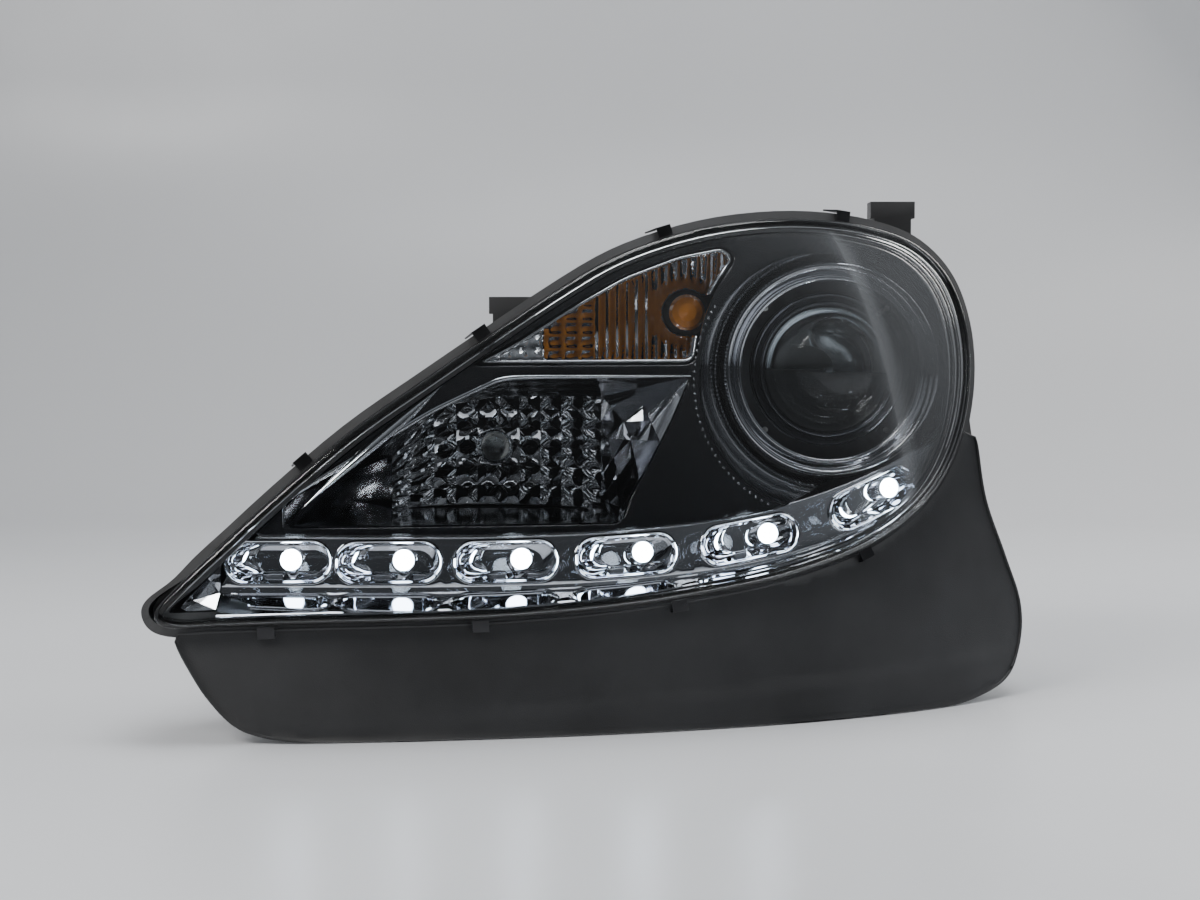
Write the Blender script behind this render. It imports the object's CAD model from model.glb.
"""Car headlamp: a clear cover lens over a black bezel with a round projector, a high beam
cavity, a turn signal bowl and a row of six daytime lights, in a black housing.

The front faces -Y and Z is up. The pointed inboard end is at -X, the tall outboard end at +X.
Shapes are worked out in mm and become metres when a mesh is made. Most parts follow one
formed surface, face_y(x, z), and a "depth" is a distance behind it.
"""
import random
from math import atan2, cos, degrees, dist, exp, hypot, pi, radians, sin

import bpy
import bmesh
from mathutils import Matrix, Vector, geometry


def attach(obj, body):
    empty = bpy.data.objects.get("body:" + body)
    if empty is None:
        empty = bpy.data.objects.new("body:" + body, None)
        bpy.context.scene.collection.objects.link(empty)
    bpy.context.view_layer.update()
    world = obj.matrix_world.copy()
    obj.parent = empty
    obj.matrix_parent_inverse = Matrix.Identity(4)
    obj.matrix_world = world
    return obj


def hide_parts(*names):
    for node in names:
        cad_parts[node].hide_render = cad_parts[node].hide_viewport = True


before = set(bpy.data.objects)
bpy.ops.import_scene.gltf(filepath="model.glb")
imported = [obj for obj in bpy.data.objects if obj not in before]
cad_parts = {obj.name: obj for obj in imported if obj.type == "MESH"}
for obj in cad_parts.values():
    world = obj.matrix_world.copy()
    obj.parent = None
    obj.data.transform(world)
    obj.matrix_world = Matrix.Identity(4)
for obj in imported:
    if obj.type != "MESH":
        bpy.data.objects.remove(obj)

MM = 0.001
random.seed(7)
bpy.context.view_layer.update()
ROOT, CARRIER = "lamp_housing", "carrier"

# ------------------------------------------------------------------ driving sizes (mm)
LOW_X, LOW_Z = 0.0, 172.0          # projector axis
HIGH_X, HIGH_Z = -176.0, 132.0     # high beam axis
TURN_X, TURN_Z = -76.0, 202.0      # turn signal axis
BEZEL_DEPTH, STRIP_DEPTH, LENS_THICK = 16.0, 20.0, 3.2
LENS_ROLL = 3.2                    # radius of the cover lens's rolled edge

# Projector cone: radius at its seat, radius gained per mm forward, and the seat's y
CONE_BASE, CONE_SLOPE, SEAT_Y = 57.5, 0.20, 6.0
SEAT_INNER = 52.6
CONE_STEPS = 240

# Cover lens outline (x, z), anticlockwise seen from the front
LENS_CONTROL = [
    (-331, 58.5), (-323, 54.2), (-300, 54.5), (-260, 55.5), (-215, 56), (-168, 57),
    (-111, 60.5), (-73, 65), (-28, 72.5), (14, 85.5), (40, 101), (56, 118), (68, 142),
    (74, 172), (72, 200), (63, 222), (45, 238.5), (15, 247.5), (-20, 250), (-55, 247),
    (-85, 240), (-115, 228.5), (-141, 213), (-169, 194), (-205, 169), (-239, 145),
    (-270, 118.5), (-297, 93.5), (-321, 70.5),
]
# Middle line of the light strip (x, z)
STRIP_CONTROL = [
    (-345, 83.2), (-305, 83.2), (-273.6, 83.0), (-221.7, 82.3), (-166, 82), (-108, 83.5),
    (-46.5, 89.5), (-14, 96.5), (18, 107), (50, 121), (70, 131),
]
# Lower edge of the chin (x, z), from the inboard end to the outboard end
CHIN_CONTROL = [
    (-319, 47), (-313, 36), (-303, 21), (-289, 8), (-268, 2.2), (-226, 0.8), (-150, 0.6),
    (-60, 0.6), (36, 0.8), (72, 3.2), (94, 12), (101.5, 30), (101.5, 48), (92.5, 73),
    (81, 104), (76.5, 136),
]
# Turn signal opening (x, z)
TURN_OUTLINE = [
    (-186, 175.5), (-162, 188), (-135, 205.5), (-110, 220), (-82, 231), (-58, 236),
    (-51.5, 229.5), (-63, 212.5), (-70, 196), (-73, 175.5),
]
# High beam cavity (x, z) at the bezel and at its back end; corners match one to one
CAVITY_FRONT = [
    (-271, 99.5), (-271, 112), (-202, 154), (-168, 170), (-76, 170), (-86, 148), (-96, 129),
    (-107, 111), (-110, 99.5),
]
CAVITY_BACK = [
    (-226, 103), (-226, 130), (-200, 156), (-172, 160), (-120, 160), (-120, 148), (-120, 130),
    (-120, 113), (-120, 103),
]
CAVITY_BACK_Y = -54.0
CAVITY_MIDDLE = (-172.0, 132.0)

# Light strip pockets: (x of the middle, roll in degrees, LED's shift outboard of the middle)
POCKETS = [
    (-273.6, 0.0, 4.6), (-221.7, 0.0, 6.2), (-166.0, 0.5, 6.8),
    (-108.0, 3.0, 8.0), (-46.5, 9.0, 9.8), (18.5, 22.0, 11.0),
]
POCKET_W, POCKET_H, POCKET_DEEP = 48.0, 17.4, 17.6
PLATE_SHIFT = 4.6                  # the pocket's back plate sits this far outboard
PLATE_W, PLATE_H = POCKET_W - 11.5, POCKET_H - 3.4
LED_DEPTH = STRIP_DEPTH + 9.6
STRIP_START = -300.0               # inboard end of the strip panel
BEZEL_RISE = 12.8                  # bezel's lower edge above the strip's middle line


def face_y(x, z):
    """The lamp's formed front surface: swept back outboard and leant back upwards."""
    along, rise = (x + 336.0) / 410.0, (z - 45.0) / 205.0
    sweep = 92.0 * along * along + 30.0 * max(along, 0.0) ** 6
    return -150.0 + sweep + 22.0 * rise + 42.0 * rise * abs(rise)


# ------------------------------------------------------------------ outline helpers (x, z)
def between(start, end, t):
    return tuple(a + (b - a) * t for a, b in zip(start, end))


def angles(count):
    return [2 * pi * i / count for i in range(count)]


def polar(angle, radius, x=LOW_X, z=LOW_Z):
    return (x + radius * cos(angle), z + radius * sin(angle))


def spline(control, closed=False, step=3.0):
    """Centripetal Catmull-Rom curve through the control points, in pieces of about step."""
    points, count = [], len(control)
    for i in range(count if closed else count - 1):
        window = (
            control[i - 1] if closed or i > 0 else control[0],
            control[i],
            control[(i + 1) % count],
            control[(i + 2) % count] if closed or i + 2 < count else control[-1],
        )
        pieces = max(2, int(dist(window[1], window[2]) / step))
        chord_a, chord_b, chord_c = (
            max(dist(a, b), 1e-6) ** 0.5 for a, b in zip(window, window[1:]))
        cubics = []
        for before, start, end, after in zip(*window):
            slope_in = slope_out = end - start
            if chord_a >= 1e-2:
                slope_in = chord_b * ((start - before) / chord_a
                                      - (end - before) / (chord_a + chord_b)
                                      + (end - start) / chord_b)
            if chord_c >= 1e-2:
                slope_out = chord_b * ((end - start) / chord_b
                                       - (after - start) / (chord_b + chord_c)
                                       + (after - end) / chord_c)
            cubics.append((2 * start - 2 * end + slope_in + slope_out,
                           -3 * start + 3 * end - 2 * slope_in - slope_out,
                           slope_in, start))
        for k in range(pieces):
            t = k / pieces
            points.append(tuple(((a * t + b) * t + c) * t + d for a, b, c, d in cubics))
    if not closed:
        points.append(tuple(control[-1]))
    return points


def resample(points, step):
    """Closed outline with evenly spaced points, about step apart."""
    count = len(points)
    run = [0.0]
    for i in range(count):
        run.append(run[-1] + dist(points[i], points[(i + 1) % count]))
    pieces = max(8, int(run[-1] / step))
    out, j = [], 0
    for k in range(pieces):
        along = run[-1] * k / pieces
        while run[j + 1] < along:
            j += 1
        t = (along - run[j]) / max(run[j + 1] - run[j], 1e-9)
        out.append(between(points[j], points[(j + 1) % count], t))
    return out


def relax(points, times):
    """Closed outline with small kinks smoothed out."""
    count = len(points)
    for _ in range(times):
        points = [tuple((a + 2 * b + c) / 4 for a, b, c in
                        zip(points[i - 1], points[i], points[(i + 1) % count]))
                  for i in range(count)]
    return points


def pick(points, count):
    """That many points, evenly by index and with both ends."""
    return [points[round(i * (len(points) - 1) / (count - 1))] for i in range(count)]


def open_run(points):
    """Points of a cut closed outline, turned so that its widest gap lies between the ends."""
    gap = max(range(len(points)),
              key=lambda i: dist(points[i], points[(i + 1) % len(points)]))
    return points[gap + 1:] + points[:gap + 1]


def signed_area(points):
    """Area, positive when the outline runs anticlockwise."""
    following = points[1:] + points[:1]
    return sum(a[0] * b[1] - b[0] * a[1] for a, b in zip(points, following)) / 2


def edge_distance(point, start, end):
    run_x, run_z = end[0] - start[0], end[1] - start[1]
    from_x, from_z = point[0] - start[0], point[1] - start[1]
    square = run_x * run_x + run_z * run_z
    t = 0 if square == 0 else max(0, min(1, (from_x * run_x + from_z * run_z) / square))
    return hypot(from_x - t * run_x, from_z - t * run_z)


def outward(loop, reach=1, smooth=0):
    """Normals pointing out of a closed outline, taken across reach points each way."""
    count = len(loop)
    side = 1.0 if signed_area(loop) > 0 else -1.0
    normals = []
    for i in range(count):
        start, end = loop[i - reach], loop[(i + reach) % count]
        run_x, run_z = end[0] - start[0], end[1] - start[1]
        length = hypot(run_x, run_z) or 1.0
        normals.append((side * run_z / length, -side * run_x / length))
    return relax(normals, smooth)


def inset(points, amount, clean=True):
    """Outline moved inwards; clean drops points that end up too near another edge."""
    count = len(points)
    out = []
    for point, normal in zip(points, outward(points)):
        moved = (point[0] - normal[0] * amount, point[1] - normal[1] * amount)
        if not clean or min(edge_distance(moved, points[k], points[(k + 1) % count])
                            for k in range(count)) >= abs(amount) - 0.15:
            out.append(moved)
    return out


def inside(point, outline):
    x, z = point
    odd = False
    for i in range(len(outline)):
        (x1, z1), (x0, z0) = outline[i], outline[i - 1]
        if (z1 > z) != (z0 > z) and x < (x0 - x1) * (z - z1) / (z0 - z1) + x1:
            odd = not odd
    return odd


def round_corners(points, radius, steps=4):
    """Polygon with its corners rounded to about the radius."""
    out = []
    for i in range(len(points)):
        corner = Vector(points[i])
        to_last = Vector(points[i - 1]) - corner
        to_next = Vector(points[(i + 1) % len(points)]) - corner
        reach = min(radius, to_last.length * 0.45, to_next.length * 0.45)
        start = corner + to_last.normalized() * reach
        end = corner + to_next.normalized() * reach
        for j in range(steps + 1):
            t = j / steps
            out.append(tuple(start * (1 - t) ** 2 + corner * 2 * t * (1 - t) + end * t * t))
    return out


def sheet(outer, holes, step):
    """Triangulated flat region: (points, triangles, each outline's point indices)."""
    outlines = [outer] + list(holes)
    points, edges, loops = [], [], []
    for outline in outlines:
        first, count = len(points), len(outline)
        points += [Vector(p) for p in outline]
        edges += [(first + i, first + (i + 1) % count) for i in range(count)]
        loops.append(range(first, first + count))

    def within(point):
        return inside(point, outer) and not any(inside(point, hole) for hole in holes)

    # boundary edges sorted into square cells, for a quick distance test
    cell = step * 1.5
    cells = {}
    for outline in outlines:
        for i in range(len(outline)):
            start, end = outline[i], outline[(i + 1) % len(outline)]
            pieces = max(1, int(dist(start, end) / (cell * 0.5)))
            for k in range(pieces + 1):
                x, z = between(start, end, k / pieces)
                cells.setdefault((int(x // cell), int(z // cell)), []).append((start, end))

    # staggered rows of inner points, clear of the boundary
    left, right = min(p[0] for p in outer), max(p[0] for p in outer)
    row, z, top = 0, min(p[1] for p in outer), max(p[1] for p in outer)
    while z < top:
        x = left + (step / 2 if row % 2 else 0)
        while x < right:
            column, level = int(x // cell), int(z // cell)
            near = min((edge_distance((x, z), a, b) for i in (-1, 0, 1) for j in (-1, 0, 1)
                        for a, b in cells.get((column + i, level + j), ())), default=9e9)
            if near > step * 0.55 and within((x, z)):
                points.append(Vector((x, z)))
            x += step
        z += step * 0.866
        row += 1

    verts, _, faces, sources, _, _ = geometry.delaunay_2d_cdt(points, edges, [], 0, 1e-5)
    new_index = {old: i for i, olds in enumerate(sources) for old in olds}
    triangles = [tuple(face) for face in faces
                 if within(sum((verts[i] for i in face), Vector((0, 0))) / len(face))]
    return ([tuple(v) for v in verts], triangles,
            [[new_index[i] for i in loop] for loop in loops])


# ------------------------------------------------------------------ mesh helpers
class Form:
    """Collects vertices and faces in mm."""
    def __init__(self):
        self.verts, self.faces = [], []

    def add(self, verts, faces):
        first = len(self.verts)
        self.verts += [tuple(v) for v in verts]
        self.faces += [tuple(first + i for i in face) for face in faces]

    def rings(self, rings, closed=True, cap_first=False, cap_last=False):
        """Skins a list of equally long point rings."""
        count = len(rings[0])
        faces = []
        for k in range(len(rings) - 1):
            here, there = k * count, (k + 1) * count
            for i in range(count if closed else count - 1):
                j = (i + 1) % count
                faces.append((here + i, here + j, there + j, there + i))
        if cap_first:
            faces.append(range(count))
        if cap_last:
            faces.append(range((len(rings) - 1) * count, len(rings) * count))
        self.add([point for ring in rings for point in ring], faces)


def add_modifier(obj, name, kind, **settings):
    modifier = obj.modifiers.new(name, kind)
    for key, value in settings.items():
        setattr(modifier, key, value)


def make(name, form, material, body=ROOT, replaces=None, angle=32, merge=0.01,
         solidify=None):
    """Turns a form into an object.

    angle: edges sharper than this many degrees stay crisp. merge: weld distance in mm.
    solidify: (thickness in metres, offset).
    """
    mesh = bpy.data.meshes.new(name)
    bm = bmesh.new()
    verts = [bm.verts.new((x * MM, y * MM, z * MM)) for x, y, z in form.verts]
    bm.verts.index_update()
    for face in form.faces:
        # a face that is already there, or that uses a vertex twice, is refused and left out
        try:
            bm.faces.new([verts[i] for i in face]).smooth = True
        except ValueError:
            pass
    if merge:
        bmesh.ops.remove_doubles(bm, verts=bm.verts, dist=merge * MM)
    loose = [v for v in bm.verts if not v.link_faces]
    bmesh.ops.delete(bm, geom=loose, context="VERTS")
    bmesh.ops.recalc_face_normals(bm, faces=bm.faces)
    bm.to_mesh(mesh)
    bm.free()
    mesh.set_sharp_from_angle(angle=radians(angle))
    mesh.materials.append(material)
    obj = bpy.data.objects.new(name, mesh)
    bpy.context.scene.collection.objects.link(obj)
    if solidify:
        add_modifier(obj, "SOLIDIFY", "SOLIDIFY", thickness=solidify[0], offset=solidify[1])
    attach(obj, body)
    if replaces:
        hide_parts(replaces)
    return obj


def set_face_normals(obj, depths, tolerance=0.03):
    """Takes corner normals from face_y wherever the mesh lies at one of the depths."""
    mesh = obj.data
    normals = [Vector(corner.vector) for corner in mesh.corner_normals]
    half = 0.5
    exact = []
    for vertex in mesh.vertices:
        x, y, z = (c / MM for c in vertex.co)
        normal = None
        if any(abs(y - face_y(x, z) - depth) < tolerance for depth in depths):
            normal = Vector(((face_y(x + half, z) - face_y(x - half, z)) / (2 * half), -1.0,
                             (face_y(x, z + half) - face_y(x, z - half)) / (2 * half)))
            normal.normalize()
        exact.append(normal)
    for polygon in mesh.polygons:
        for corner in polygon.loop_indices:
            normal = exact[mesh.loops[corner].vertex_index]
            # rim faces that stand across the surface keep their own normals
            if normal is not None and abs(normal.dot(polygon.normal)) > 0.93:
                normals[corner] = normal if normal.dot(polygon.normal) > 0 else -normal
    mesh.normals_split_custom_set([tuple(n) for n in normals])


def on_face(point, depth):
    return (point[0], face_y(*point) + depth, point[1])


def face_ring(points, depth):
    return [on_face(point, depth) for point in points]


def shifted_ring(points, normals, out, depth):
    """Ring moved out along the normals, keeping the depth measured at the unmoved points."""
    return [(x + nx * out, face_y(x, z) + depth, z + nz * out)
            for (x, z), (nx, nz) in zip(points, normals)]


def rolled_edge(loop, side, radius, straight, depth=BEZEL_DEPTH, steps=4):
    """Rings of an edge that turns rearwards; side 1 rolls out of the loop, -1 into it."""
    profile = []
    for k in range(steps + 1):
        turn = radians(90 * k / steps)
        profile.append((side * radius * sin(turn), depth + radius * (1 - cos(turn))))
    profile.append((side * radius, depth + radius + straight))
    normals = outward(loop)
    return [shifted_ring(loop, normals, *station) for station in profile]


def revolve(x, z, profile, segments):
    """Rings of a body of revolution about Y. Profile: (radius, y)."""
    rings = []
    for radius, y in profile:
        circle = [polar(a, radius, x, z) for a in angles(segments)]
        rings.append([(px, y, pz) for px, pz in circle])
    return rings


def fillet(radius, y, bend, start, end, steps):
    """Profile points of an arc round (radius, y), from start to end in degrees."""
    return [polar(radians(start + (end - start) * i / steps), bend, radius, y)
            for i in range(steps + 1)]


# ------------------------------------------------------------------ shader helpers
def add_node(tree, kind, inputs=(), **values):
    """Adds a shader node.

    Named values go to the input of that name (_ for a space), or else to the attribute.
    inputs sets inputs by number. A socket given as a value is linked.
    """
    node = tree.nodes.new("ShaderNode" + kind)
    for key, value in [*values.items(), *dict(inputs).items()]:
        socket = key.replace("_", " ") if isinstance(key, str) else key
        if isinstance(key, str) and socket not in node.inputs:
            setattr(node, key, value)
        elif isinstance(value, bpy.types.NodeSocket):
            tree.links.new(value, node.inputs[socket])
        else:
            node.inputs[socket].default_value = value
    return node


def new_tree(name):
    material = bpy.data.materials.new(name)
    material.use_nodes = True
    material.node_tree.nodes.clear()
    return material, material.node_tree


def finish(material, shader):
    add_node(material.node_tree, "OutputMaterial", Surface=shader.outputs[0])
    return material


def object_coords(tree):
    return add_node(tree, "TexCoord").outputs["Object"]


def noise(tree, coords, scale, detail, roughness=0.5):
    return add_node(tree, "TexNoise", Vector=coords, Scale=scale, Detail=detail,
                    Roughness=roughness).outputs["Fac"]


def map_range(tree, value, source, target):
    """Maps the value from the source (min, max) to the target (min, max)."""
    return add_node(tree, "MapRange", Value=value, From_Min=source[0], From_Max=source[1],
                    To_Min=target[0], To_Max=target[1]).outputs["Result"]


def color_ramp(tree, factor, first, last, *others):
    """Colour ramp with stops given as (position, colour)."""
    node = add_node(tree, "ValToRGB", Fac=factor)
    elements = node.color_ramp.elements
    for element, (position, color) in zip(list(elements), (first, last)):
        element.position = position
        element.color = color
    for position, color in others:
        elements.new(position).color = color
    return node.outputs["Color"]


def mix_color(tree, factor, color_a, color_b, blend="MIX"):
    inputs = {0: factor, 6: color_a, 7: color_b}
    return add_node(tree, "Mix", inputs, data_type="RGBA", blend_type=blend).outputs[2]


def multiply(tree, value, factor):
    return add_node(tree, "Math", {0: value, 1: factor}, operation="MULTIPLY").outputs[0]


# ------------------------------------------------------------------ material kinds
def principled(name, color, rough=0.4, rough_var=0.08, color_var=0.06, patch_scale=60.0,
               metal=0.0, bump=0.0, bump_scale=400.0, coat=0.0, spec=0.5, sheen=0.0, wear=0.0):
    """Surface with patchy roughness and colour, and if asked fine bumps and worn edges.

    rough_var and color_var: how far the patches stray. wear: how pale sharp edges get.
    """
    material, tree = new_tree(name)
    coords = object_coords(tree)
    roughness = map_range(tree, noise(tree, coords, patch_scale, detail=3.0, roughness=0.6),
                          source=(0.3, 0.7),
                          target=(max(0.0, rough - rough_var), min(1.0, rough + rough_var)))
    dark = [max(0.0, c * (1 - color_var)) for c in color] + [1]
    light = [min(1.0, c * (1 + color_var) + color_var * 0.01) for c in color] + [1]
    base = color_ramp(tree, noise(tree, coords, patch_scale * 0.6, detail=4.0),
                      (0.35, dark), (0.65, light))
    if wear > 0:
        pointiness = add_node(tree, "NewGeometry").outputs["Pointiness"]
        sharpness = map_range(tree, pointiness, source=(0.53, 0.62), target=(0.0, 1.0))
        worn = [min(1, c * 1.6 + 0.06) for c in color] + [1]
        base = mix_color(tree, multiply(tree, sharpness, wear), base, worn)
    shader = add_node(tree, "BsdfPrincipled", Base_Color=base, Roughness=roughness,
                      Metallic=metal, Specular_IOR_Level=spec, Coat_Weight=coat,
                      Coat_Roughness=0.04)
    if sheen:
        shader.inputs["Sheen Weight"].default_value = sheen
    if bump > 0:
        height = noise(tree, coords, bump_scale, detail=4.0, roughness=0.65)
        bumps = add_node(tree, "Bump", Strength=bump, Distance=0.0003, Height=height)
        tree.links.new(bumps.outputs["Normal"], shader.inputs["Normal"])
    return finish(material, shader)


def thin_clear(name, tint, boost):
    """Thin clear moulding: see-through, with reflections that grow at grazing angles."""
    material, tree = new_tree(name)
    through = add_node(tree, "BsdfTransparent", Color=(*tint, 1))
    haze = noise(tree, object_coords(tree), scale=35.0, detail=5.0, roughness=0.55)
    roughness = map_range(tree, haze, source=(0.4, 0.75), target=(0.015, 0.065))
    gloss = add_node(tree, "BsdfGlossy", Color=(1, 1, 1, 1), Roughness=roughness)
    fresnel = add_node(tree, "Fresnel", IOR=1.5).outputs[0]
    share = add_node(tree, "Math", {0: fresnel, 1: boost, 2: 0.0},
                     operation="MULTIPLY_ADD", use_clamp=True)
    return finish(material, add_node(tree, "MixShader", {
        0: share.outputs[0], 1: through.outputs[0], 2: gloss.outputs[0]}))


def solid_glass(name, color):
    material, tree = new_tree(name)
    smears = noise(tree, object_coords(tree), scale=80.0, detail=3.0)
    roughness = map_range(tree, smears, source=(0.0, 1.0), target=(0.0, 0.03))
    return finish(material, add_node(
        tree, "BsdfPrincipled", Base_Color=(*color, 1), Transmission_Weight=1.0, IOR=1.51,
        Roughness=roughness))


def glow(name, color, strength, edge):
    """Lit emitter that dims to color * edge at grazing angles, as a frosted cap does."""
    material, tree = new_tree(name)
    facing = add_node(tree, "LayerWeight", Blend=0.35).outputs["Facing"]
    falloff = color_ramp(tree, facing, (0.0, (1, 1, 1, 1)), (1.0, (*[c * edge for c in color], 1)))
    lit = mix_color(tree, 1.0, (*color, 1), falloff, blend="MULTIPLY")
    return finish(material, add_node(tree, "Emission", Color=lit, Strength=strength))


# ------------------------------------------------------------------ materials
CHROME = principled("vacuum_chrome", color=(0.80, 0.81, 0.84), rough=0.045, metal=1.0,
                    bump=0.006, bump_scale=90, rough_var=0.03, color_var=0.03, patch_scale=30)
ALUMINISED = principled("reflector_aluminised", color=(0.84, 0.85, 0.87), rough=0.06, metal=1.0,
                        bump=0.005, bump_scale=90, rough_var=0.03, color_var=0.02,
                        patch_scale=30)
DARK_CHROME = principled("black_chrome", color=(0.15, 0.155, 0.17), rough=0.085, metal=1.0,
                         bump=0.004, bump_scale=90, rough_var=0.04, color_var=0.05,
                         patch_scale=40)
SMOKED_CHROME = principled("smoked_chrome", color=(0.36, 0.365, 0.38), rough=0.10, metal=1.0,
                           rough_var=0.04, color_var=0.05, patch_scale=40)
GLOSS_BLACK = principled("bezel_gloss_black", color=(0.009, 0.0095, 0.011), rough=0.10,
                         rough_var=0.02, color_var=0.02, coat=0.6, spec=0.55, patch_scale=40)
SATIN_BLACK = principled("satin_black", color=(0.02, 0.021, 0.023), rough=0.42, bump=0.25,
                         bump_scale=1500, color_var=0.15)
HOUSING_BLACK = principled("housing_black_pp", color=(0.022, 0.0225, 0.024), rough=0.47,
                           bump=0.55, bump_scale=1700, rough_var=0.10, color_var=0.20,
                           wear=0.35, patch_scale=25)
GREY = principled("grey_glass_filled", color=(0.10, 0.105, 0.11), rough=0.5, bump=0.35,
                  bump_scale=1300, rough_var=0.1, color_var=0.15, wear=0.3)
WHITE_PLASTIC = principled("acetal_white", color=(0.72, 0.70, 0.64), rough=0.38, bump=0.1,
                           bump_scale=700, color_var=0.05, wear=0.2)
RUBBER = principled("rubber_black", color=(0.018, 0.018, 0.018), rough=0.68, bump=0.5,
                    bump_scale=900, rough_var=0.12, color_var=0.2, sheen=0.15, wear=0.2)
STEEL = principled("zinc_plated_steel", color=(0.60, 0.60, 0.58), rough=0.28, metal=1.0,
                   bump=0.12, bump_scale=500, rough_var=0.1, color_var=0.1, wear=0.4)
DIE_CAST = principled("die_cast_aluminium", color=(0.52, 0.53, 0.54), rough=0.45, metal=1.0,
                      bump=0.5, bump_scale=1100, rough_var=0.1, color_var=0.1, wear=0.4)
BOARD = principled("board_white", color=(0.74, 0.75, 0.73), rough=0.35, bump=0.1,
                   bump_scale=800, rough_var=0.06, color_var=0.04)
BRASS = principled("brass_pin", color=(0.75, 0.56, 0.22), rough=0.25, metal=1.0,
                   color_var=0.08)
CLEAR_LENS = thin_clear("lens_polycarbonate", tint=(0.972, 0.982, 0.99), boost=0.85)
BULB_GLASS = thin_clear("bulb_glass", tint=(0.96, 0.98, 0.99), boost=1.0)
AMBER = principled("amber_glass", color=(0.98, 0.33, 0.03), rough=0.12, spec=0.7, coat=0.8,
                   rough_var=0.04, color_var=0.08, patch_scale=90)
PROJECTOR_GLASS = solid_glass("projector_glass", color=(0.96, 0.985, 0.985))
LED_LIT = glow("led_emitter_lit", color=(0.86, 0.93, 1.0), strength=90.0, edge=0.35)
OPTIC_LIT = glow("led_optic_lit", color=(0.80, 0.90, 1.0), strength=60.0, edge=0.5)
CLIP_STEEL = principled("spring_steel_black", color=(0.055, 0.055, 0.058), rough=0.34,
                        metal=1.0, bump=0.12, bump_scale=500, rough_var=0.1, color_var=0.15,
                        wear=0.5)
WIRE_RED = principled("wire_red", color=(0.32, 0.02, 0.015), bump=0.1, bump_scale=600)
WIRE_BLACK = principled("wire_black", color=(0.02, 0.02, 0.022), rough=0.45, bump=0.1,
                        bump_scale=600)
WIRE_YELLOW = principled("wire_yellow", color=(0.50, 0.36, 0.03), bump=0.1, bump_scale=600)
LOOM_TAPE = principled("loom_tape", color=(0.016, 0.016, 0.017), rough=0.6, bump=0.4,
                       bump_scale=700)

# ------------------------------------------------------------------ CAD pieces
# (material, CAD pieces that get it)
FINISHES = [
    (HOUSING_BLACK, "housing"),
    (STEEL, "mount_bushes motor_screws strip_screws driver_screws pivot_ball_stud"
            " low_beam_bulb_base high_beam_bulb_base projector_screws high_beam_screws"
            " low_beam_bulb_clip high_beam_bulb_clip horizontal_adjuster_screw"
            " turn_bulb_base"),
    (RUBBER, "lens_seal motor_seal breather_cap low_beam_cap high_beam_cap turn_holder_seal"),
    (CLIP_STEEL, "lens_clips"),
    (BOARD, "led_board"),
    (LED_LIT, "led_chips"),
    (GREY, "levelling_motor carrier_frame low_beam_socket high_beam_socket turn_bulb_holder"),
    (DIE_CAST, "led_driver"),
    (SATIN_BLACK, "main_connector projector_shield"),
    (BRASS, "connector_pins"),
    (WHITE_PLASTIC, "pivot_socket levelling_spindle vertical_adjuster_wheel"
                    " horizontal_adjuster_knob"),
    (DARK_CHROME, "projector_lens_holder"),
    (ALUMINISED, "projector_reflector turn_reflector high_beam_reflector"),
    (BULB_GLASS, "low_beam_bulb_glass high_beam_bulb_glass"),
    (AMBER, "turn_bulb_glass"),
    (GLOSS_BLACK, "bezel"),
    (CHROME, "high_beam_surround projector_trim_ring led_strip_reflector"),
    (CLEAR_LENS, "outer_lens"),
    (PROJECTOR_GLASS, "projector_lens"),
    (OPTIC_LIT, "led_lenses"),
    (LOOM_TAPE, "wiring_harness"),
]
# (edge radius in mm, moulded and turned CAD pieces that get it)
EDGE_RADII = [
    (0.8, "levelling_motor"),
    (0.6, "low_beam_cap high_beam_cap"),
    (0.5, "breather_cap"),
    (0.4, "main_connector low_beam_socket high_beam_socket turn_bulb_holder pivot_socket"
          " carrier_frame"),
    (0.35, "led_driver vertical_adjuster_wheel horizontal_adjuster_knob"),
    (0.25, "mount_bushes"),
    (0.22, "lens_clips"),
    (0.2, "motor_screws driver_screws strip_screws projector_screws high_beam_screws"
          " levelling_spindle"),
    (0.1, "connector_pins"),
]


def finish_cad():
    finishes = {name: material for material, names in FINISHES for name in names.split()}
    for name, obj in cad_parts.items():
        if name not in finishes:
            continue
        if not obj.material_slots:
            obj.data.materials.append(finishes[name])
        for slot in obj.material_slots:
            slot.material = finishes[name]


def round_cad_edges():
    for radius, names in EDGE_RADII:
        for name in names.split():
            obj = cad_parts.get(name)
            if obj is None:
                continue
            add_modifier(obj, "weld", "WELD", merge_threshold=0.00001)
            add_modifier(obj, "edge_radius", "BEVEL", width=radius * MM, segments=2,
                         limit_method="ANGLE", angle_limit=radians(40),
                         use_clamp_overlap=True)
            add_modifier(obj, "normals", "WEIGHTED_NORMAL", keep_sharp=False)


def build_housing():
    """The CAD housing, with its wall at the chin's outboard end cut to the chin's edge."""
    wall_x_min, wall_x_max, wall_y_min, wall_z_max = 0.0945, 0.0995, -0.003, 0.008   # metres
    cut_z = 0.0155
    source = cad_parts["housing"]
    mesh = source.data.copy()
    mesh.transform(source.matrix_world)
    obj = bpy.data.objects.new("housing_body", mesh)
    bpy.context.scene.collection.objects.link(obj)
    for vertex in mesh.vertices:
        x, y, z = vertex.co
        if wall_x_min < x < wall_x_max and y > wall_y_min and z < wall_z_max:
            vertex.co.z = cut_z
    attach(obj, ROOT)
    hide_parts("housing")


finish_cad()
round_cad_edges()
build_housing()

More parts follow.
